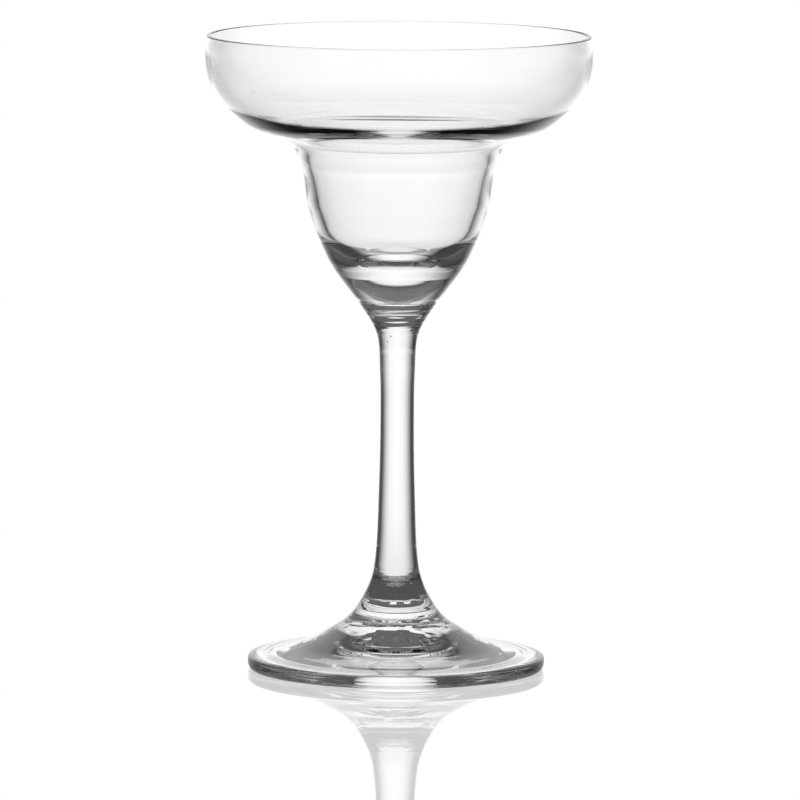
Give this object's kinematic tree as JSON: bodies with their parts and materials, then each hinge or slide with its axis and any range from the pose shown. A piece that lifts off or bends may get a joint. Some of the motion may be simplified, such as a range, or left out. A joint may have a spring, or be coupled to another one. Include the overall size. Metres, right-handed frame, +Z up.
{
  "type": "margarita glass",
  "caption": "Empty clear margarita glass: a wide shallow upper bowl stepping in to a narrow lower bowl, on a slim solid stem and a round foot.",
  "frame": {"origin": "centre of the foot's resting ring, on the surface that the glass stands on", "axes": "+Z up along the axis of the glass, from the foot to the rim; it is round about Z, so X and Y are free"},
  "size_m": [0.1074, 0.1074, 0.1766],
  "materials": {
    "clear_glass": "fire-polished water-clear glass, smooth and glossy, with faint moulding ripples round the stem's two joints"
  },
  "bodies": {
    "root": {"margarita_glass": "clear_glass"}
  },
  "joints": []
}
